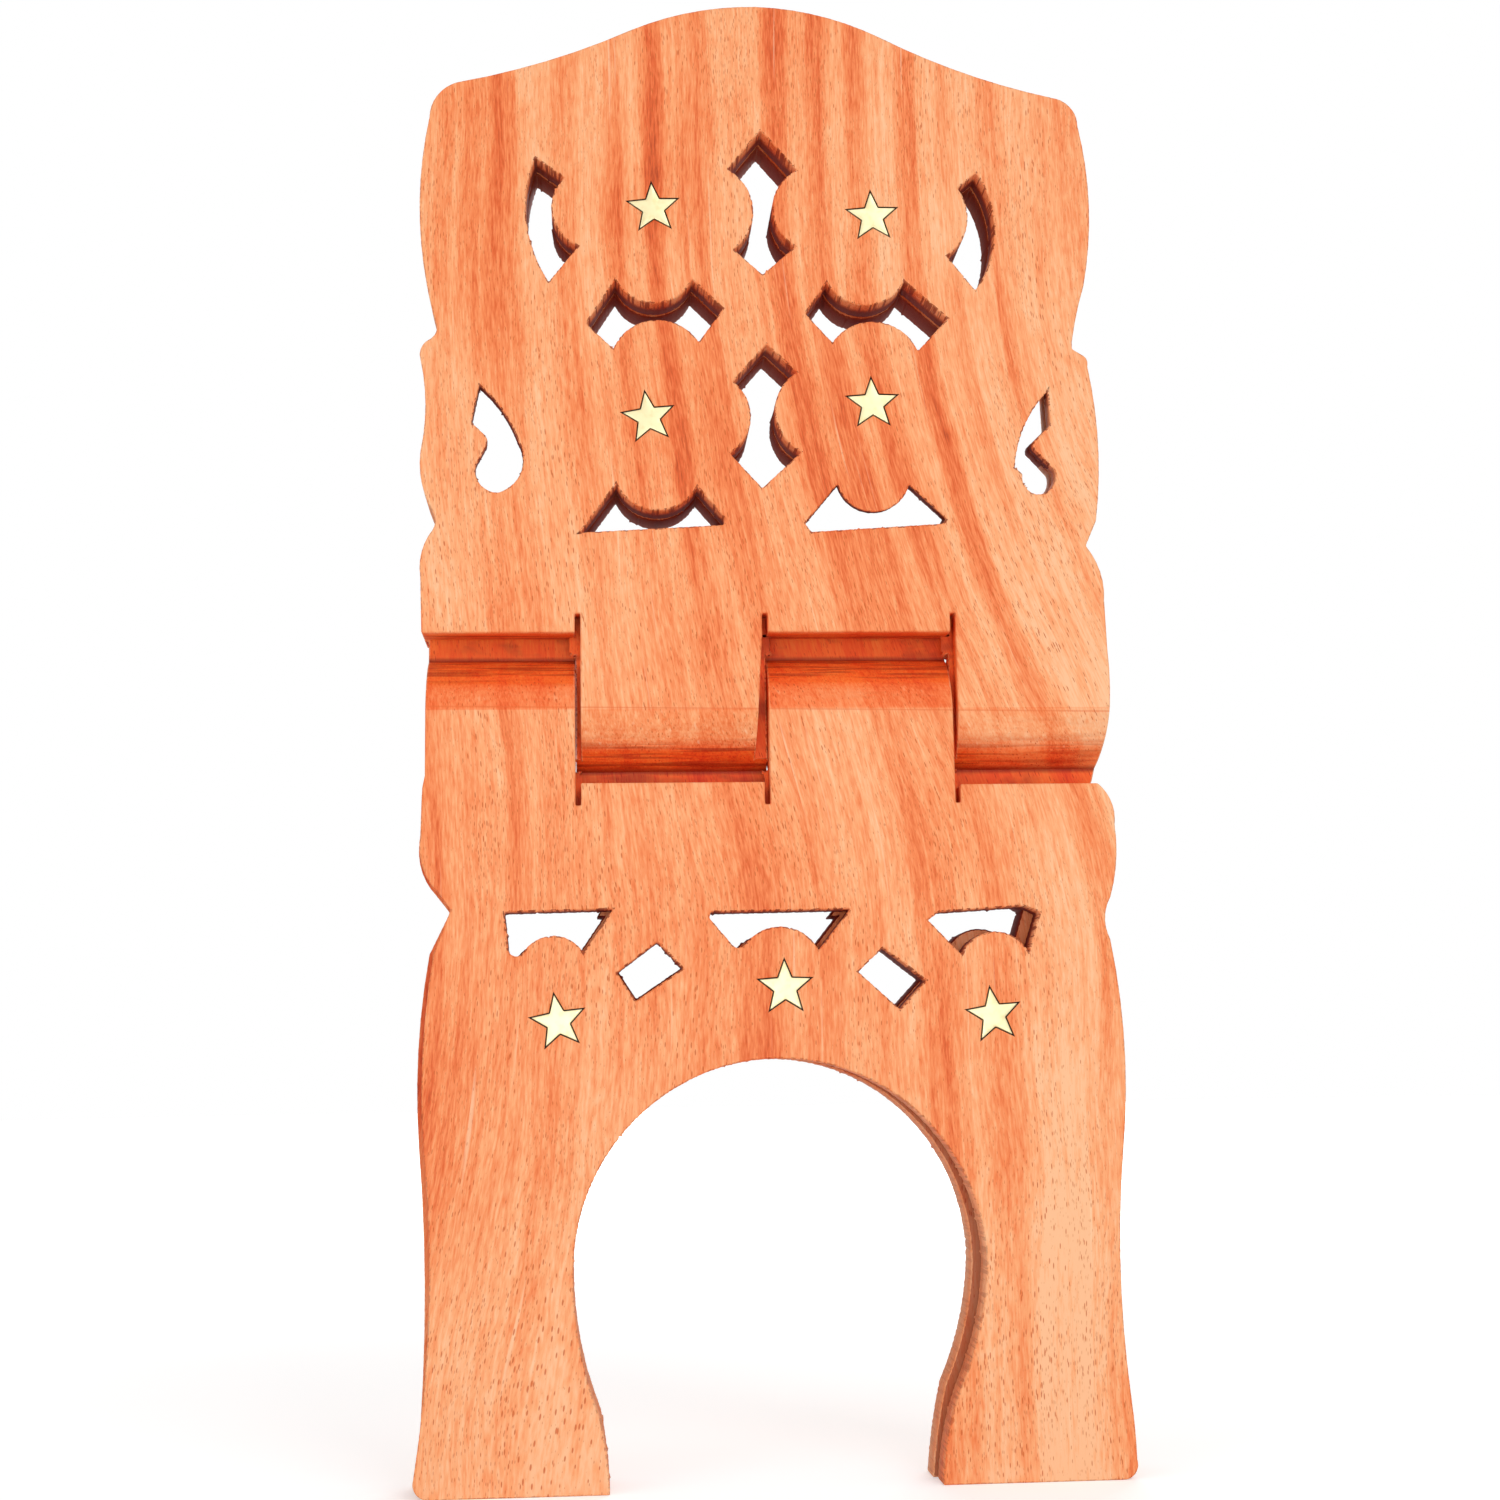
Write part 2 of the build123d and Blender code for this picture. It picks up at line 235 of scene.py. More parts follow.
def rubbed_board(node, name):
    """A copy of a sawn board with its loose triangles joined into whole faces, the saw's ridges cut into its
    walls and every arris taken off. Each face is marked with how it was worked: red where it was sawn to
    the outline, green where it was carved, blue where it lies in the kerf or a pocket, and alpha 0 where it
    is an arris. The plank's outer edge and the arch, sanded after sawing, are less than half as red."""
    bm = bmesh.new()
    bm.from_mesh(frame["nodes"][node].data)
    bmesh.ops.remove_doubles(bm, verts=bm.verts, dist=SAME_POINT)
    bmesh.ops.dissolve_limit(bm, angle_limit=ONE_FACE, verts=bm.verts[:], edges=bm.edges[:])
    bm.normal_update()
    divide_rims(bm)
    cut_ridges(bm)
    refill_flats(bm)
    sharp = [edge for edge in bm.edges if edge.calc_face_angle(0) > RUBBED_EDGE]
    rims = [edge for edge in sharp if not all(in_pocket(v.co) for v in edge.verts)]
    rubbed = bmesh.ops.bevel(
        bm, geom=rims, offset=ARRIS, segments=2, profile=0.5, affect="EDGES", clamp_overlap=False
    )
    bm.normal_update()
    arris = {face for face in rubbed["faces"] if abs(face.normal.y) < SQUARE_ON}
    worked = []
    for face in bm.faces:
        middle = face.calc_center_median()
        flat = abs(face.normal.y) > SQUARE_ON
        deep = flat and abs(middle.y) < OUTER_FACE
        hinge = abs(middle.z - hinge_z) < CARVED_REACH
        carved = hinge and not flat
        pocket = deep and abs(middle.y) > KERF_FACE or (not flat and in_pocket(middle, WALL_MARGIN))
        cut = OUTER_SAWN if on_outer_edge(middle) else ARCH_SAWN if middle.z < ARCH_CROWN else 1
        sawn = 0 if flat or hinge or pocket else cut
        face.smooth = not flat
        worked += [float(sawn), float(carved), 1.0 if pocket else 0.5 * deep, float(face not in arris)]
    mesh = bpy.data.meshes.new(name)
    bm.to_mesh(mesh)
    bm.free()
    marks = mesh.attributes.new("worked", "FLOAT_COLOR", "CORNER")
    per_face = np.array(worked, dtype=np.float32).reshape(-1, 4)
    corners = np.repeat(per_face, [len(p.vertices) for p in mesh.polygons], axis=0)
    marks.data.foreach_set("color", corners.ravel())
    mesh.set_sharp_from_angle(angle=SHADED_EDGE)
    return new_object(name, mesh)


# Sheesham, as the boards show it: orange-brown, with soft dark streaks, open pores and pale flecks. Its
# shades run evenly from the palest to the darkest.
SHEESHAM_SHADES = (
    (0.96, 0.52, 0.28), (0.94, 0.38, 0.16), (0.89, 0.24, 0.075), (0.75, 0.12, 0.025), (0.45, 0.055, 0.008),
)
PALE_FLECK = (0.95, 0.66, 0.42)
PORE_BROWN = (0.62, 0.11, 0.016)
OIL_AND_SHADE_TINT = (0.98, 0.37, 0.10)  # a full coat of oil, deepened by painted shade in the recesses, multiplies the wood's own colour by this
SHADOW_RED = (0.23, 0.011, 0.0012)
SCRIBE_RED = (0.80, 0.15, 0.035)
GLUE_BROWN = (0.05, 0.018, 0.008)
PORE_CELLS = (1250, 850, 210)  # to the metre, across the grain, through the plank and along the grain
FINER = 1.7  # how many times as close the finer pores lie
SLOW_SWAY = 15 * MM  # how far the grain wanders from side to side over a hand's breadth
QUICK_SWAY = 4.5 * MM  # and over a finger's
SCRIBE_SLOPE = 0.012  # how far off level the scribe line is


def add(tree, kind, inputs=None, **settings):
    """A node of one kind. Each of inputs is a socket's value, or another node's socket to link to it."""
    node = tree.nodes.new(kind)
    for name, value in settings.items():
        setattr(node, name, value)
    for socket, value in (inputs or {}).items():
        if isinstance(value, bpy.types.NodeSocket):
            tree.links.new(value, node.inputs[socket])
        else:
            node.inputs[socket].default_value = value
    return node


def maths(tree, operation, *values):
    """The result of one sum on one, two or three values."""
    return add(tree, "ShaderNodeMath", dict(enumerate(values)), operation=operation).outputs[0]


def product(tree, first, *others):
    """Several values multiplied together."""
    for other in others:
        first = maths(tree, "MULTIPLY", first, other)
    return first


def largest(tree, first, *others):
    """The largest of several values."""
    for other in others:
        first = maths(tree, "MAXIMUM", first, other)
    return first


def fade(tree, value, start, end, at_start=0.0, at_end=1.0):
    """A value carried smoothly from one number to another as the input passes from start to end."""
    ends = {"Value": value, "From Min": start, "From Max": end, "To Min": at_start, "To Max": at_end}
    return add(tree, "ShaderNodeMapRange", ends, interpolation_type="SMOOTHSTEP").outputs[0]


def tint(tree, amount, colour, other, how="MIX"):
    """Two colours mixed by an amount."""
    node = tree.nodes.new("ShaderNodeMix")
    node.data_type = "RGBA"
    node.blend_type = how
    for socket, value in ((0, amount), (6, colour), (7, other)):
        if isinstance(value, bpy.types.NodeSocket):
            tree.links.new(value, node.inputs[socket])
        else:
            node.inputs[socket].default_value = value if socket == 0 else (*value, 1)
    return node.outputs[2]


def stretched(tree, place, stretch):
    """A place with each of its parts multiplied by its own number."""
    return add(tree, "ShaderNodeVectorMath", {0: place, 1: stretch}, operation="MULTIPLY").outputs[0]


def noise(tree, place, scale, stretch=(1, 1, 1), detail=2.0, roughness=0.5):
    """A soft random value, 0 to 1. Scale is in lumps to the metre, times stretch along each axis."""
    at = stretched(tree, place, stretch)
    knobs = {"Vector": at, "Scale": scale, "Detail": detail, "Roughness": roughness}
    return add(tree, "ShaderNodeTexNoise", knobs).outputs["Fac"]


def bumped(tree, height):
    """The direction that a surface faces, for its height in millimetres."""
    bump = {"Height": height, "Distance": 1 * MM, "Strength": 1.0}
    return add(tree, "ShaderNodeBump", bump).outputs[0]


def new_group(name, takes, gives):
    """An empty node group, with its own input and output sockets. Each of takes is a name, a kind and the
    value it starts with."""
    group = bpy.data.node_groups.new(name, "ShaderNodeTree")
    for title, kind, start in takes:
        socket = group.interface.new_socket(title, in_out="INPUT", socket_type="NodeSocket" + kind)
        if start is not None:
            socket.default_value = start
    for title, kind in gives:
        group.interface.new_socket(title, in_out="OUTPUT", socket_type="NodeSocket" + kind)
    source = group.nodes.new("NodeGroupInput").outputs
    result = group.nodes.new("NodeGroupOutput").inputs
    return group, source, result


def use_group(tree, group, **inputs):
    """A node group placed in a tree, with its inputs by name."""
    node = tree.nodes.new("ShaderNodeGroup")
    node.node_tree = group
    for name, value in inputs.items():
        if isinstance(value, bpy.types.NodeSocket):
            tree.links.new(value, node.inputs[name])
        else:
            node.inputs[name].default_value = value
    return node.outputs


def new_material(name):
    """A material with its tree, its shader's sockets, and the place of each spot of what it covers."""
    material = bpy.data.materials.new(name)
    material.use_nodes = True
    tree = material.node_tree
    place = tree.nodes.new("ShaderNodeTexCoord").outputs["Object"]
    return material, tree, tree.nodes["Principled BSDF"].inputs, place


def lie_of_the_grain():
    """Straightens the grain: gives a place whose X runs across the grain. The grain stands upright in the
    crown, leans to the right through the middle, more so towards the right edge, and back to the left in the
    left leg."""
    group, source, result = new_group(
        "lie of the grain", [("Position", "Vector", None)], [("Grain", "Vector")]
    )
    place = source["Position"]
    x, y, z = add(group, "ShaderNodeSeparateXYZ", {0: place}).outputs[:3]
    fall = fade(group, z, 400 * MM, 160 * MM, 0, 0.2)
    lean = fade(group, x, -130 * MM, 130 * MM, 0.04, 0.30)
    leg = fade(group, z, 180 * MM, 0.0, 0, 0.14)
    left = fade(group, x, 0.0, -120 * MM, 0, 0.14)
    across = maths(group, "MULTIPLY_ADD", product(group, fall, lean), -1, x)
    across = maths(group, "MULTIPLY_ADD", leg, left, across)
    slow = noise(group, place, 7, (1, 1, 0.6), 1)
    quick = noise(group, place, 30, (1, 0.5, 0.5), 1)
    for wander, width in ((slow, SLOW_SWAY), (quick, QUICK_SWAY)):
        across = maths(group, "MULTIPLY_ADD", maths(group, "SUBTRACT", wander, 0.5), width, across)
    grain = add(group, "ShaderNodeCombineXYZ", {0: across, 1: y, 2: z}).outputs[0]
    group.links.new(grain, result["Grain"])
    return group


# The strongest dark streaks across the crown: place and half width, in millimetres, with strength between.
STREAKS = (
    (-104, 0.25, 6), (-83, 0.5, 7), (-64, 0.45, 6), (-48, 0.5, 5), (-35, 0.8, 5), (-20, 0.6, 6),
    (6, 0.95, 7), (20, 0.75, 6), (33, 0.7, 6), (50, 0.75, 6), (64, 0.3, 5), (81, 0.5, 7), (97, 0.15, 6),
)
STREAKS_REACH = 120  # millimetres either side of the middle, where the run of streaks ends
FADED = 0.06  # strength to which each streak falls at its half width


def streaks():
    """Dark streaks along the grain: the named ones, strongest in the crown, over a wider and a finer run of
    random ones. Gives their darkness, and the fine fibres between them, each 0 to 1."""
    takes = [("Grain", "Vector", None), ("Height", "Float", 0.4)]
    gives = [("Dark", "Float"), ("Line", "Float"), ("Fibre", "Float")]
    group, source, result = new_group("streaks", takes, gives)
    grain = source["Grain"]
    across = add(group, "ShaderNodeSeparateXYZ", {0: grain}).outputs[0]
    share = {"Value": across, "From Min": -STREAKS_REACH * MM, "From Max": STREAKS_REACH * MM}
    share = add(group, "ShaderNodeMapRange", share).outputs[0]
    curve = add(group, "ShaderNodeFloatCurve", {"Value": share})
    points = curve.mapping.curves[0].points
    points[0].location = (0, 0)
    points[1].location = (1, 0)
    for middle, strength, half in STREAKS:
        for place, value in ((middle - half, FADED), (middle, strength), (middle + half, FADED)):
            points.new((place + STREAKS_REACH) / (2 * STREAKS_REACH), value)
    curve.mapping.update()
    crown = fade(group, source["Height"], 220 * MM, 360 * MM, 0.3, 1)
    named = product(group, curve.outputs[0], crown)
    wide = fade(group, noise(group, grain, 62, (1, 0.6, 0.035), 2), 0.50, 0.72)
    narrow = fade(group, noise(group, grain, 170, (1, 0.6, 0.03), 2), 0.52, 0.74)
    other = maths(group, "MULTIPLY_ADD", narrow, 0.35, product(group, wide, 0.7))
    dark = maths(group, "MULTIPLY_ADD", named, 0.9, product(group, other, 0.75))
    group.links.new(dark, result["Dark"])
    line = noise(group, grain, 560, (1, 0.6, 0.03), 2)
    group.links.new(line, result["Line"])
    fibre = noise(group, grain, 1900, (1, 0.8, 0.10), 2, 0.6)
    group.links.new(fibre, result["Fibre"])
    return group


def pores():
    """Open pores: the wood's vessels, cut along their length, show as short dark dashes along the grain.
    Each lies in a cell of its own, and Share, 0 to 0.3, is how much of its cell it fills."""
    takes = [("Grain", "Vector", None), ("Share", "Float", 0.13)]
    group, source, result = new_group("pores", takes, [("Pore", "Float")])
    place = stretched(group, source["Grain"], PORE_CELLS)
    cell = add(group, "ShaderNodeTexVoronoi", {"Vector": place, "Scale": 1.0}, feature="F1")
    crowding = noise(group, source["Grain"], 60, (1, 1, 0.2), 2)
    room = product(group, source["Share"], fade(group, crowding, 0.35, 0.65, 0.5, 1.5))
    inside = maths(group, "DIVIDE", cell.outputs["Distance"], room)
    group.links.new(fade(group, inside, 1.25, 0.75), result["Pore"])
    return group


def spot_on_board(tree, place):
    """What is known of each spot of a board: its place, its depth below the outer face (0 to 1), its height
    above or below the hinge's axis, and how it was worked: sawn, carved, in the kerf, under glue or whole,
    each 0 to 1. On an arris, whole is 0."""
    x, y, z = add(tree, "ShaderNodeSeparateXYZ", {0: place}).outputs[:3]
    worked = add(tree, "ShaderNodeAttribute", attribute_name="worked")
    colours = add(tree, "ShaderNodeSeparateColor", {0: worked.outputs["Color"]})
    sawn, carved, hidden = colours.outputs[:3]
    depth = fade(tree, maths(tree, "ABSOLUTE", y), half_plank, 0.1 * half_plank)
    from_axis = maths(tree, "ABSOLUTE", maths(tree, "SUBTRACT", z, hinge_z))
    by_hinge = fade(tree, from_axis, 40 * MM, 30 * MM)
    glue = fade(tree, hidden, 0.6, 0.9)
    kerf = product(tree, fade(tree, hidden, 0.1, 0.4), maths(tree, "SUBTRACT", 1.0, glue))
    return SimpleNamespace(
        place=place, x=x, y=y, z=z, depth=depth, from_axis=from_axis, by_hinge=by_hinge,
        sawn=sawn, carved=carved, kerf=kerf, glue=glue, whole=worked.outputs["Alpha"],
    )


def bare_tone(tree, spot, figure):
    """How dark the bare wood is, 0 the palest and 1 the darkest: streaks, lines, fibres and soft clouds,
    then the wide stretches of the plank that are darker or paler than the rest. The darker lower left and
    the paler right are in part painted light, as it falls from the right."""
    tone = maths(tree, "MULTIPLY_ADD", figure["Dark"], 0.52, 0.20)
    cloud = noise(tree, spot.place, 26, (1, 1, 0.7), 3)
    for pattern, strength in ((figure["Line"], 0.5), (figure["Fibre"], 0.85), (cloud, 0.52)):
        tone = maths(tree, "MULTIPLY_ADD", maths(tree, "SUBTRACT", pattern, 0.5), strength, tone)
    # Darker at the lower left and paler to the right: in part the wood's own tone, in part painted light.
    lower_left = product(
        tree,
        fade(tree, spot.x, -50 * MM, -115 * MM, 0, 0.24),
        fade(tree, spot.z, 300 * MM, 220 * MM),
        fade(tree, spot.z, 40 * MM, 100 * MM),
    )
    right = fade(tree, spot.x, 30 * MM, 120 * MM, 0, -0.10)
    right = product(tree, right, fade(tree, spot.z, 440 * MM, 360 * MM))
    lower_right = fade(tree, spot.z, 220 * MM, 120 * MM, 0, -0.12)
    lower_right = product(tree, lower_right, fade(tree, spot.x, 0.0, 80 * MM))
    feet = fade(tree, spot.z, 100 * MM, 30 * MM, 0, -0.07)
    core = fade(tree, maths(tree, "ABSOLUTE", spot.x), 80 * MM, 30 * MM, -0.03, 0.09)
    core = product(tree, core, fade(tree, spot.z, 420 * MM, 340 * MM))
    for stretch in (lower_left, right, lower_right, feet, core):
        tone = maths(tree, "ADD", tone, stretch)
    return tone


def bare_wood(tree, spot, grain, figure, pore):
    """The colour of the wood before it was oiled."""
    ramp = add(tree, "ShaderNodeValToRGB", {0: bare_tone(tree, spot, figure)})
    stops = ramp.color_ramp.elements
    stops[0].color = (*SHEESHAM_SHADES[0], 1)
    stops[1].color = (*SHEESHAM_SHADES[-1], 1)
    for i, shade in enumerate(SHEESHAM_SHADES[1:-1], start=1):
        stops.new(i / (len(SHEESHAM_SHADES) - 1)).color = (*shade, 1)
    fleck = fade(tree, noise(tree, grain, 700, (1, 1, 0.02), 1), 0.68, 0.80, 0, 0.5)
    colour = tint(tree, fleck, ramp.outputs[0], PALE_FLECK)
    return tint(tree, product(tree, pore, 0.8), colour, PORE_BROWN)


def oil_and_painted_shade(tree, spot):
    """How much each spot is darkened by oil and by painted shade: the oil is most where the wood was cut,
    and the painted shade grows with depth on the carving, in the cut-outs' walls and in the kerf by the
    hinge, deepest by the kerf. The arrises are rubbed pale."""
    # On the carving, painted shade that deepens with depth.
    upper = fade(tree, spot.depth, 0.0, 0.30, 0.6, 1.1)
    lower = fade(tree, spot.depth, 0.12, 0.70, 0.08, 1.15)
    lower = product(tree, lower, fade(tree, spot.x, 50 * MM, 80 * MM, 1, 0.75))
    above = fade(tree, spot.z, hinge_z - 1 * MM, hinge_z + 1 * MM)
    slope = add(tree, "ShaderNodeMix", {0: above, 2: lower, 3: upper}).outputs[0]
    oiled = product(tree, spot.carved, slope)
    # In the kerf, oil everywhere and painted shade by the hinge.
    in_kerf = maths(tree, "MULTIPLY_ADD", spot.by_hinge, 0.7, 0.3)
    oiled = maths(tree, "MULTIPLY_ADD", spot.kerf, in_kerf, oiled)
    # On the walls of the cut-outs, oil with painted shade that deepens with depth.
    oiled = maths(tree, "MULTIPLY_ADD", spot.sawn, fade(tree, spot.depth, 0, 0.8, 0.28, 0.8), oiled)
    return product(tree, oiled, fade(tree, spot.whole, 0, 1, 0.3, 1))


def shadowed(tree, spot, furrow):
    """How much painted shade each spot gets: in the saw's furrows, deep in the walls of the cut-outs and
    all along the rear leaf's walls, in the kerf round the arch, in the crease beside each finger, in patches
    deep by the hinge and on the recessed ledges of the carving. The chisel's scrapes on the carving take
    the same dark colour."""
    # Painted shade in the saw's furrows.
    groove = product(tree, spot.sawn, fade(tree, furrow, 0.50, 0.42, 0, 0.75))
    # Painted shade deep in the walls of the cut-outs, and all along the rear leaf's walls.
    rear = fade(tree, spot.y, -0.1 * half_plank, 0.1 * half_plank)
    through = largest(tree, fade(tree, spot.depth, 0.25, 0.75), rear)
    by_legs = fade(tree, spot.z, hinge_z - 20 * MM, hinge_z + 20 * MM, 0.97, 0.88)
    wall = product(tree, spot.sawn, spot.sawn, through, by_legs)
    # Painted shade in the kerf round the arch.
    up_the_arch = largest(tree, maths(tree, "SUBTRACT", spot.z, ARCH_HEIGHT), 0.0)
    from_arch = add(tree, "ShaderNodeCombineXYZ", {0: spot.x, 1: up_the_arch}).outputs[0]
    from_arch = add(tree, "ShaderNodeVectorMath", {0: from_arch}, operation="LENGTH").outputs["Value"]
    arch = product(tree, spot.kerf, fade(tree, from_arch, 70 * MM, 66 * MM, 0, 0.6))
    # Painted shade in the crease beside each finger.
    step = maths(tree, "ABSOLUTE", maths(tree, "SUBTRACT", spot.from_axis, CREASE))
    crease = fade(tree, step, 1.6 * MM, 0.1 * MM, 0, 0.7)
    crease = product(tree, crease, fade(tree, spot.depth, 0.75, 0.95))
    # Patchy painted shade by the hinge, darker the deeper it lies.
    patchy_recess_shade = fade(tree, noise(tree, spot.place, 120, (0.5, 1, 1), 3), 0.48, 0.70, 0, 0.5)
    patchy_recess_shade = product(tree, patchy_recess_shade, spot.by_hinge, fade(tree, spot.depth, 0.3, 0.9))
    scrape = fade(tree, noise(tree, spot.place, 700, (0.04, 1, 1), 2), 0.46, 0.62, 0, 0.55)
    scrape = product(tree, scrape, spot.carved, fade(tree, spot.depth, 0.1, 0.5))
    scrape = product(tree, scrape, fade(tree, spot.x, 50 * MM, 80 * MM, 1, 0.5))
    # Painted shade on the recessed ledges of the carving.
    ledge = fade(tree, spot.from_axis, CREASE + 0.5 * MM, CREASE + 1.5 * MM, 0, 0.12)
    ledge = product(tree, ledge, spot.carved, fade(tree, spot.depth, 0.15, 0.4))
    return largest(tree, groove, wall, arch, crease, patchy_recess_shade, scrape, ledge)


def scribe_line(tree, spot):
    """The line scribed across the fingers at the height of the hinge's axis."""
    off_line = maths(tree, "SUBTRACT", spot.z, hinge_z)
    off_line = maths(tree, "MULTIPLY_ADD", spot.x, SCRIBE_SLOPE, off_line)
    line = fade(tree, maths(tree, "ABSOLUTE", off_line), 0.45 * MM, 0.1 * MM, 0, 0.5)
    return product(tree, line, fade(tree, spot.depth, 0.1, 0.0))


def relief(tree, spot, figure, pore, furrow):
    """The height of the surface, in millimetres: pores and fibres everywhere, the saw's furrows through the
    walls, and the chisel's facets on the carving."""
    chisel = noise(tree, spot.place, 260, (0.12, 1, 1), 2)
    height = product(tree, pore, -0.04)
    height = maths(tree, "MULTIPLY_ADD", figure["Fibre"], 0.05, height)
    height = maths(tree, "MULTIPLY_ADD", product(tree, furrow, spot.sawn), 0.35, height)
    return maths(tree, "MULTIPLY_ADD", product(tree, chisel, spot.carved), 1.1, height)


def sheesham():
    """The material of both boards. Its pattern runs through both as it did through the plank."""
    material, tree, shader, place = new_material("sheesham")
    spot = spot_on_board(tree, place)
    grain = use_group(tree, lie_of_the_grain(), Position=place)["Grain"]
    figure = use_group(tree, streaks(), Grain=grain, Height=spot.z)
    vessels = pores()
    coarse = use_group(tree, vessels, Grain=grain, Share=0.14)["Pore"]
    fine = use_group(tree, vessels, Grain=stretched(tree, grain, (FINER,) * 3), Share=0.16)["Pore"]
    pore = largest(tree, coarse, product(tree, fine, 0.7))
    furrow = noise(tree, place, 800, (1, 0.04, 1), 2)
    bare = bare_wood(tree, spot, grain, figure, pore)
    # Oil and painted shade in the cuts, the carving and the kerf, then more painted shade in SHADOW_RED.
    colour = tint(tree, oil_and_painted_shade(tree, spot), bare, tint(tree, 1.0, bare, OIL_AND_SHADE_TINT, "MULTIPLY"))
    colour = tint(tree, shadowed(tree, spot, furrow), colour, SHADOW_RED)
    colour = tint(tree, scribe_line(tree, spot), colour, SCRIBE_RED)
    colour = tint(tree, spot.glue, colour, GLUE_BROWN)
    rough = maths(tree, "MULTIPLY_ADD", figure["Fibre"], 0.16, 0.44)
    rough = maths(tree, "MULTIPLY_ADD", largest(tree, spot.sawn, spot.carved), 0.2, rough)
    tree.links.new(colour, shader["Base Color"])
    tree.links.new(rough, shader["Roughness"])
    tree.links.new(bumped(tree, relief(tree, spot, figure, pore, furrow)), shader["Normal"])
    shader["Specular IOR Level"].default_value = 0.3
    return material


wood = sheesham()
for node, name in (("front_rest_board", "front_rest_carved"), ("rear_rest_board", "rear_rest_carved")):
    board = rubbed_board(node, name)
    board.data.materials.append(wood)
    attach(board, node)
    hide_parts(node)

# ----------------------------------------------------------------------------------------------------
# The stars. Each is stamped from thin brass sheet, its edge rounded by the stamping, glued into its pocket
# and sanded flush with the wood, which left fine scratches across it.
STAR_POINTS = 5
STAR_NOTCH = 0.43  # inner radius over outer radius
STAR_WAIST = 0.36  # distance of the sides from the middle over outer radius
STAR_DOME = 0.10 * MM  # how much the middle stands proud of the points
STAR_PROUD = 0.05 * MM  # how much the points stand proud of the wood
EDGE_ROUND = 0.28 * MM  # radius of its upper edge
CORNER_CUT = 0.35 * MM  # how far before and after each corner its rounding reaches
FILED = 0.975  # the stamped star was filed this much smaller, to drop into its pocket
DOME_RINGS = ((0.6, 0.6), (0.3, 0.9))  # the size of each ring of the dome, and its share of the height
STAR_SHARP = radians(50)  # the edge of a star that turns by more than this looks sharp
BRASS_PALE = (1.0, 0.88, 0.52)
BRASS_TARNISHED = (0.96, 0.78, 0.40)
BRASS_SCRATCHED = (1.0, 0.95, 0.70)


def star_shape(node):
    """A star's middle, outer radius, turn of its first point, side of the plank and depth of its back, read
    from the plain star's own points."""
    plain = frame["nodes"][node].data
    points = np.empty(len(plain.vertices) * 3)
    plain.vertices.foreach_get("co", points)
    points = points.reshape(-1, 3)
    low, high = points.min(axis=0), points.max(axis=0)
    flat = np.unique(points[:, [0, 2]].round(7), axis=0)
    middle = flat.mean(axis=0)
    reach = np.hypot(*(flat - middle).T)
    tips = flat[reach > 0.9 * reach.max()] - middle
    top = tips[tips[:, 1].argmax()]
    side = 1 if high[1] > 0 else -1
    back = low[1] if side > 0 else high[1]
    return middle, reach.max(), np.arctan2(top[1], top[0]), side, back


def stamped_star(node):
    """A star's plate as rings of points from its back edge to its middle. Ring by ring, the outline draws in
    and the height rises, first up the side, then over a quarter round, then along a low dome to the middle
    point."""
    middle, radius, turn, side, back = star_shape(node)
    corner = np.arange(2 * STAR_POINTS)
    angle = turn + corner * pi / STAR_POINTS
    reach = np.where(corner % 2, radius * STAR_NOTCH, radius)
    corners = FILED * np.stack([reach * np.cos(angle), reach * np.sin(angle)], axis=1)
    # Each corner becomes three points, a short way before it, near it and a short way after it.
    before, after = np.roll(corners, 1, axis=0) - corners, np.roll(corners, -1, axis=0) - corners
    before /= np.linalg.norm(before, axis=1, keepdims=True)
    after /= np.linalg.norm(after, axis=1, keepdims=True)
    near = corners + (before + after) * CORNER_CUT * 0.25
    rim = np.stack([corners + before * CORNER_CUT, near, corners + after * CORNER_CUT], axis=1)
    rim = rim.reshape(-1, 2)
    top = side * half_plank
    rounding = np.linspace(0, pi / 2, 4)
    inset = EDGE_ROUND * (1 - np.cos(rounding))
    rise = EDGE_ROUND * np.sin(rounding)
    scales = [1.0, *(1 - inset / (STAR_WAIST * radius)), *(size for size, _ in DOME_RINGS)]
    edge_top = top + side * (STAR_PROUD - EDGE_ROUND)
    heights = [back, *(edge_top + side * rise)]
    heights += [top + side * (STAR_PROUD + STAR_DOME * share) for _, share in DOME_RINGS]
    rings = []
    for scale, height in zip(scales, heights):
        x, z = (middle + rim * scale).T
        rings.append(np.column_stack([x, np.full(len(rim), height), z]))
    peak = top + side * (STAR_PROUD + STAR_DOME)
    centre = [[middle[0], peak, middle[1]], [middle[0], back, middle[1]]]
    points = np.vstack([*rings, centre])
    count = len(rim)
    step = np.arange(count)
    onward = (step + 1) % count
    faces = []
    for ring in range(len(rings) - 1):
        quad = np.stack([ring * count + step, ring * count + onward], axis=1)
        faces += np.hstack([quad, quad[:, ::-1] + count]).tolist()
    last = (len(rings) - 1) * count
    faces += np.stack([last + step, last + onward, np.full(count, len(points) - 2)], axis=1).tolist()
    faces += np.stack([onward, step, np.full(count, len(points) - 1)], axis=1).tolist()
    mesh = bpy.data.meshes.new(node + "_stamped")
    mesh.from_pydata(points.tolist(), [], faces)
    bm = bmesh.new()
    bm.from_mesh(mesh)
    bmesh.ops.recalc_face_normals(bm, faces=bm.faces)
    bm.to_mesh(mesh)
    bm.free()
    mesh.shade_smooth()
    mesh.set_sharp_from_angle(angle=STAR_SHARP)
    return new_object(node + "_stamped", mesh)


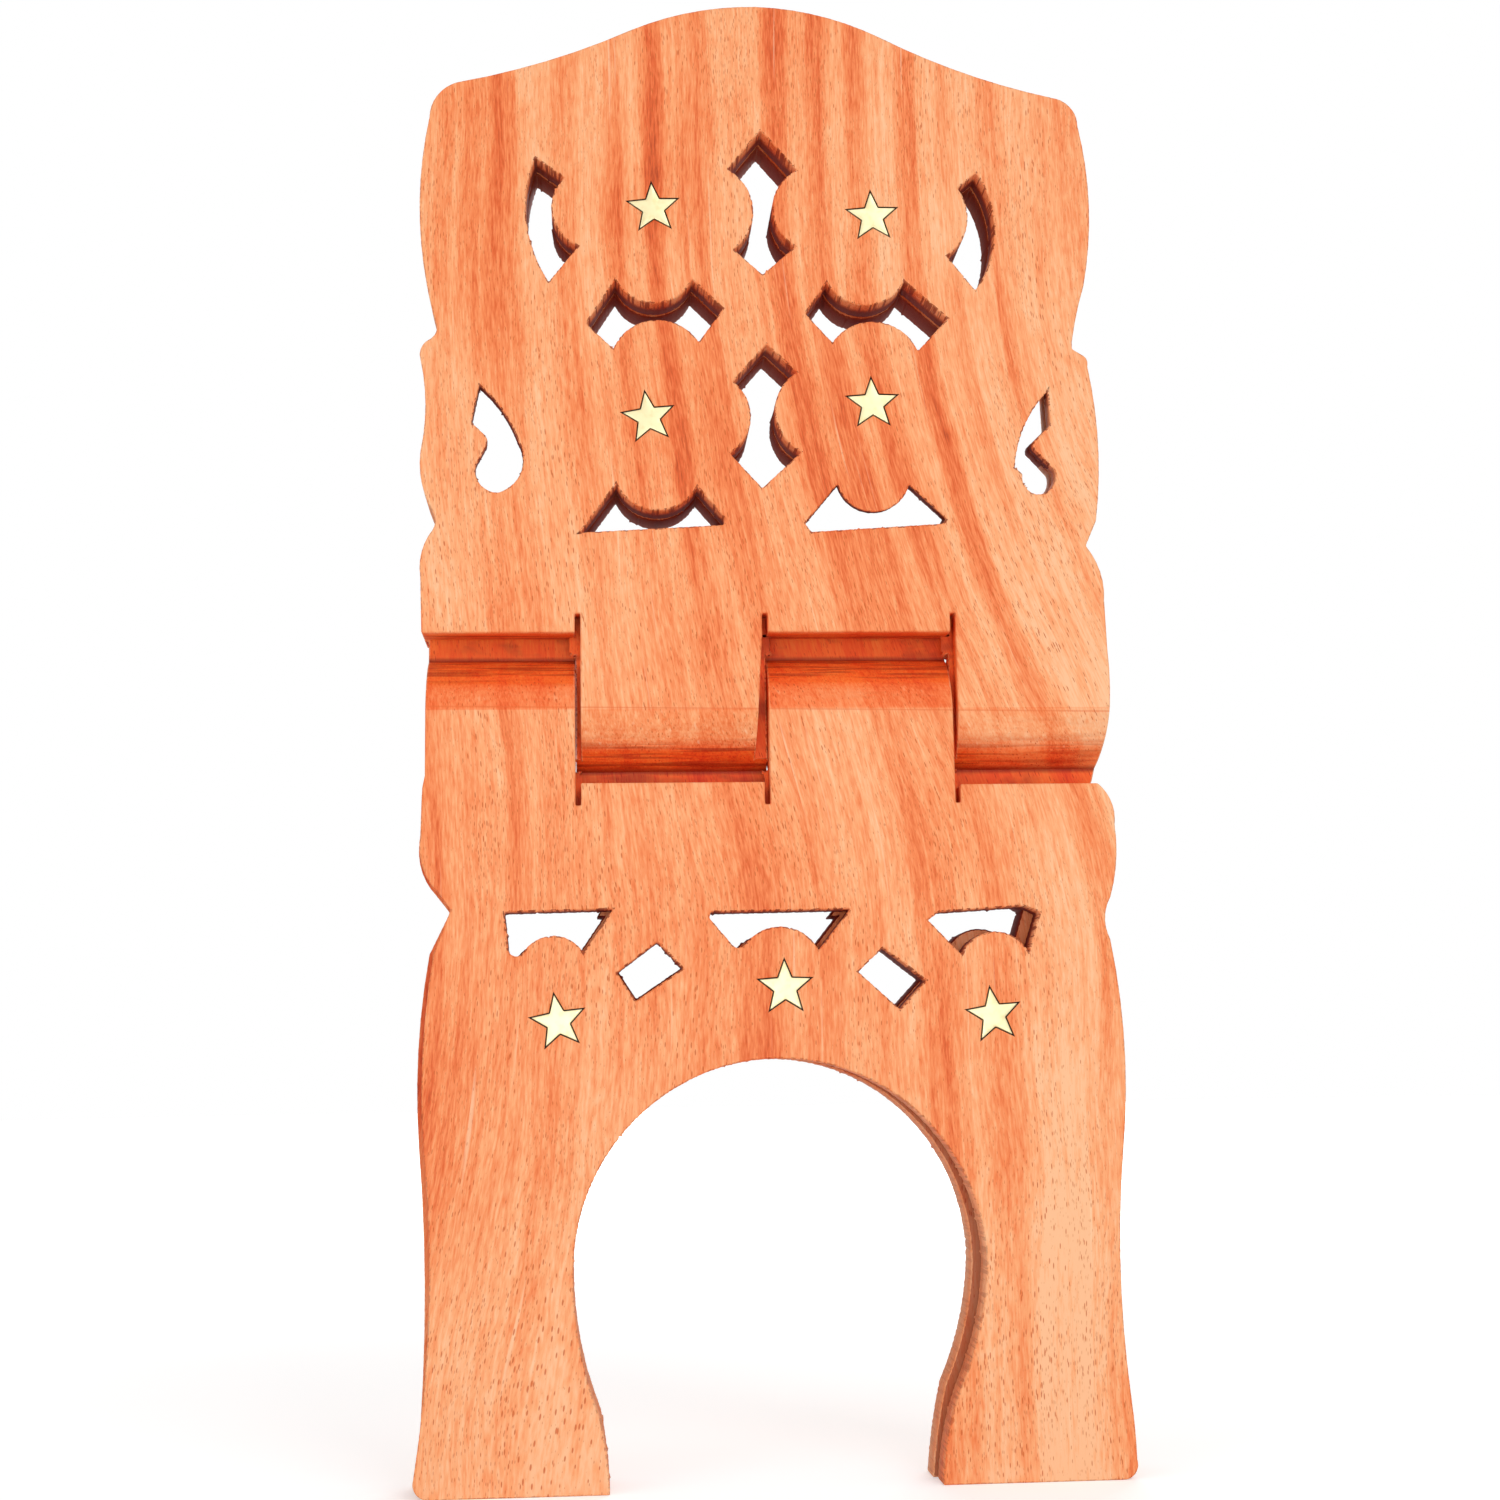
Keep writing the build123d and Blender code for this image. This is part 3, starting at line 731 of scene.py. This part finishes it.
def brass():
    """Brushed and slightly tarnished brass, paler where the sandpaper scratched it."""
    material, tree, shader, place = new_material("brass")
    scratch = noise(tree, place, 2600, (1, 1, 0.05), 2)
    tarnish = fade(tree, noise(tree, place, 420, (1, 1, 1), 3), 0.45, 0.75)
    colour = tint(tree, tarnish, BRASS_PALE, BRASS_TARNISHED)
    colour = tint(tree, product(tree, scratch, 0.25), colour, BRASS_SCRATCHED)
    rough = maths(tree, "MULTIPLY_ADD", scratch, 0.2, 0.36)
    tree.links.new(colour, shader["Base Color"])
    tree.links.new(rough, shader["Roughness"])
    tree.links.new(bumped(tree, product(tree, scratch, 0.02)), shader["Normal"])
    shader["Metallic"].default_value = 1.0
    return material


sheet_brass = brass()
for node in sorted(name for name in frame["nodes"] if "star" in name):
    plate = stamped_star(node)
    plate.data.materials.append(sheet_brass)
    # The rear rest board carries the front legs, and the front rest board the rear ones.
    on_rear_board = node.startswith(("rear_rest", "front_leg"))
    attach(plate, "rear_rest_board" if on_rear_board else "front_rest_board")
    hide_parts(node)

# ----------------------------------------------------------------------------------------------------
# The floor: a wide round sheet of pale paper. Away from the stand it grows as bright as the studio's white
# wall.
SHEET_RADIUS = 8.0
ROUND = 128  # points round its edge
PAPER_GREY = (0.92, 0.92, 0.92, 1)
WHITE = (1, 1, 1, 1)


def pale_paper():
    """Matt paper. To the eye it glows a little, more so away from the stand, as over-lit paper does."""
    material, tree, shader, place = new_material("pale paper")
    distance = add(tree, "ShaderNodeVectorMath", {0: place}, operation="LENGTH").outputs["Value"]
    glow = fade(tree, distance, 0.30, 2.0, 0.30, 1.0)
    seen = tree.nodes.new("ShaderNodeLightPath").outputs["Is Camera Ray"]
    tree.links.new(product(tree, glow, seen), shader["Emission Strength"])
    shader["Emission Color"].default_value = WHITE
    shader["Base Color"].default_value = PAPER_GREY
    shader["Roughness"].default_value = 0.9
    shader["Specular IOR Level"].default_value = 0.1
    return material


turn = np.linspace(0, 2 * pi, ROUND, endpoint=False)
rim = np.column_stack([SHEET_RADIUS * np.cos(turn), SHEET_RADIUS * np.sin(turn), np.zeros(ROUND)])
paper_mesh = bpy.data.meshes.new("paper_sheet")
paper_mesh.from_pydata(rim.tolist(), [], [list(range(ROUND))])
paper_mesh.materials.append(pale_paper())
paper_sheet = new_object("paper_sheet", paper_mesh)

# ----------------------------------------------------------------------------------------------------
# The light: an even pale studio, with one softbox high on the right, weaker ones on the left and behind,
# and one low in front, which lights the undersides of the cut-outs.
ROOM_IN_FRONT = 0.69  # brightness of the white room before the stand
ROOM_BEHIND = 0.36  # and behind it


def pale_studio():
    """The white room round the stand. It is seen as plain white, and lights the stand less from behind."""
    world = bpy.data.worlds.new("studio")
    world.use_nodes = True
    tree = world.node_tree
    seen = tree.nodes.new("ShaderNodeLightPath").outputs["Is Camera Ray"]
    towards = tree.nodes.new("ShaderNodeTexCoord").outputs["Generated"]
    behind = add(tree, "ShaderNodeSeparateXYZ", {0: towards}).outputs["Y"]
    room = fade(tree, behind, -0.5, 0.7, ROOM_IN_FRONT, ROOM_BEHIND)
    wall = add(tree, "ShaderNodeMix", {0: seen, 2: room, 3: 1.0}).outputs[0]
    background = tree.nodes["Background"].inputs
    tree.links.new(wall, background["Strength"])
    background["Color"].default_value = WHITE
    return world


def softbox(name, place, aim, size, power):
    """A square area light at a place, turned to face another."""
    data = bpy.data.lights.new(name, "AREA")
    data.size = size
    data.energy = power
    lamp = bpy.data.objects.new(name, data)
    lamp.location = place
    lamp.rotation_euler = (Vector(aim) - Vector(place)).to_track_quat("-Z", "Y").to_euler()
    lamp.visible_camera = False
    bpy.context.scene.collection.objects.link(lamp)


bpy.context.scene.world = pale_studio()
MIDDLE = (0, 0, 0.25)
softbox("key", (0.7, -1.5, 1.3), MIDDLE, 0.8, 6)
softbox("low", (-0.05, -0.75, 0.03), (0, 0, 0.42), 0.5, 2.2)
softbox("fill", (-1.4, -1.2, 0.7), MIDDLE, 1.0, 4)
softbox("back", (0.6, 1.8, 1.4), MIDDLE, 1.2, 15)

# ----------------------------------------------------------------------------------------------------
# The camera: low and close, a little to the left, looking up at the front.
camera_data = bpy.data.cameras.new("camera")
camera_data.lens = 51.9
camera_data.sensor_width = 36
camera = bpy.data.objects.new("camera", camera_data)
camera.location = (-0.0542, -0.6982, 0.1257)
camera.rotation_euler = (radians(98.551), radians(0.945), radians(-3.887))
bpy.context.scene.collection.objects.link(camera)
bpy.context.scene.camera = camera
bpy.context.scene.view_settings.view_transform = "Standard"
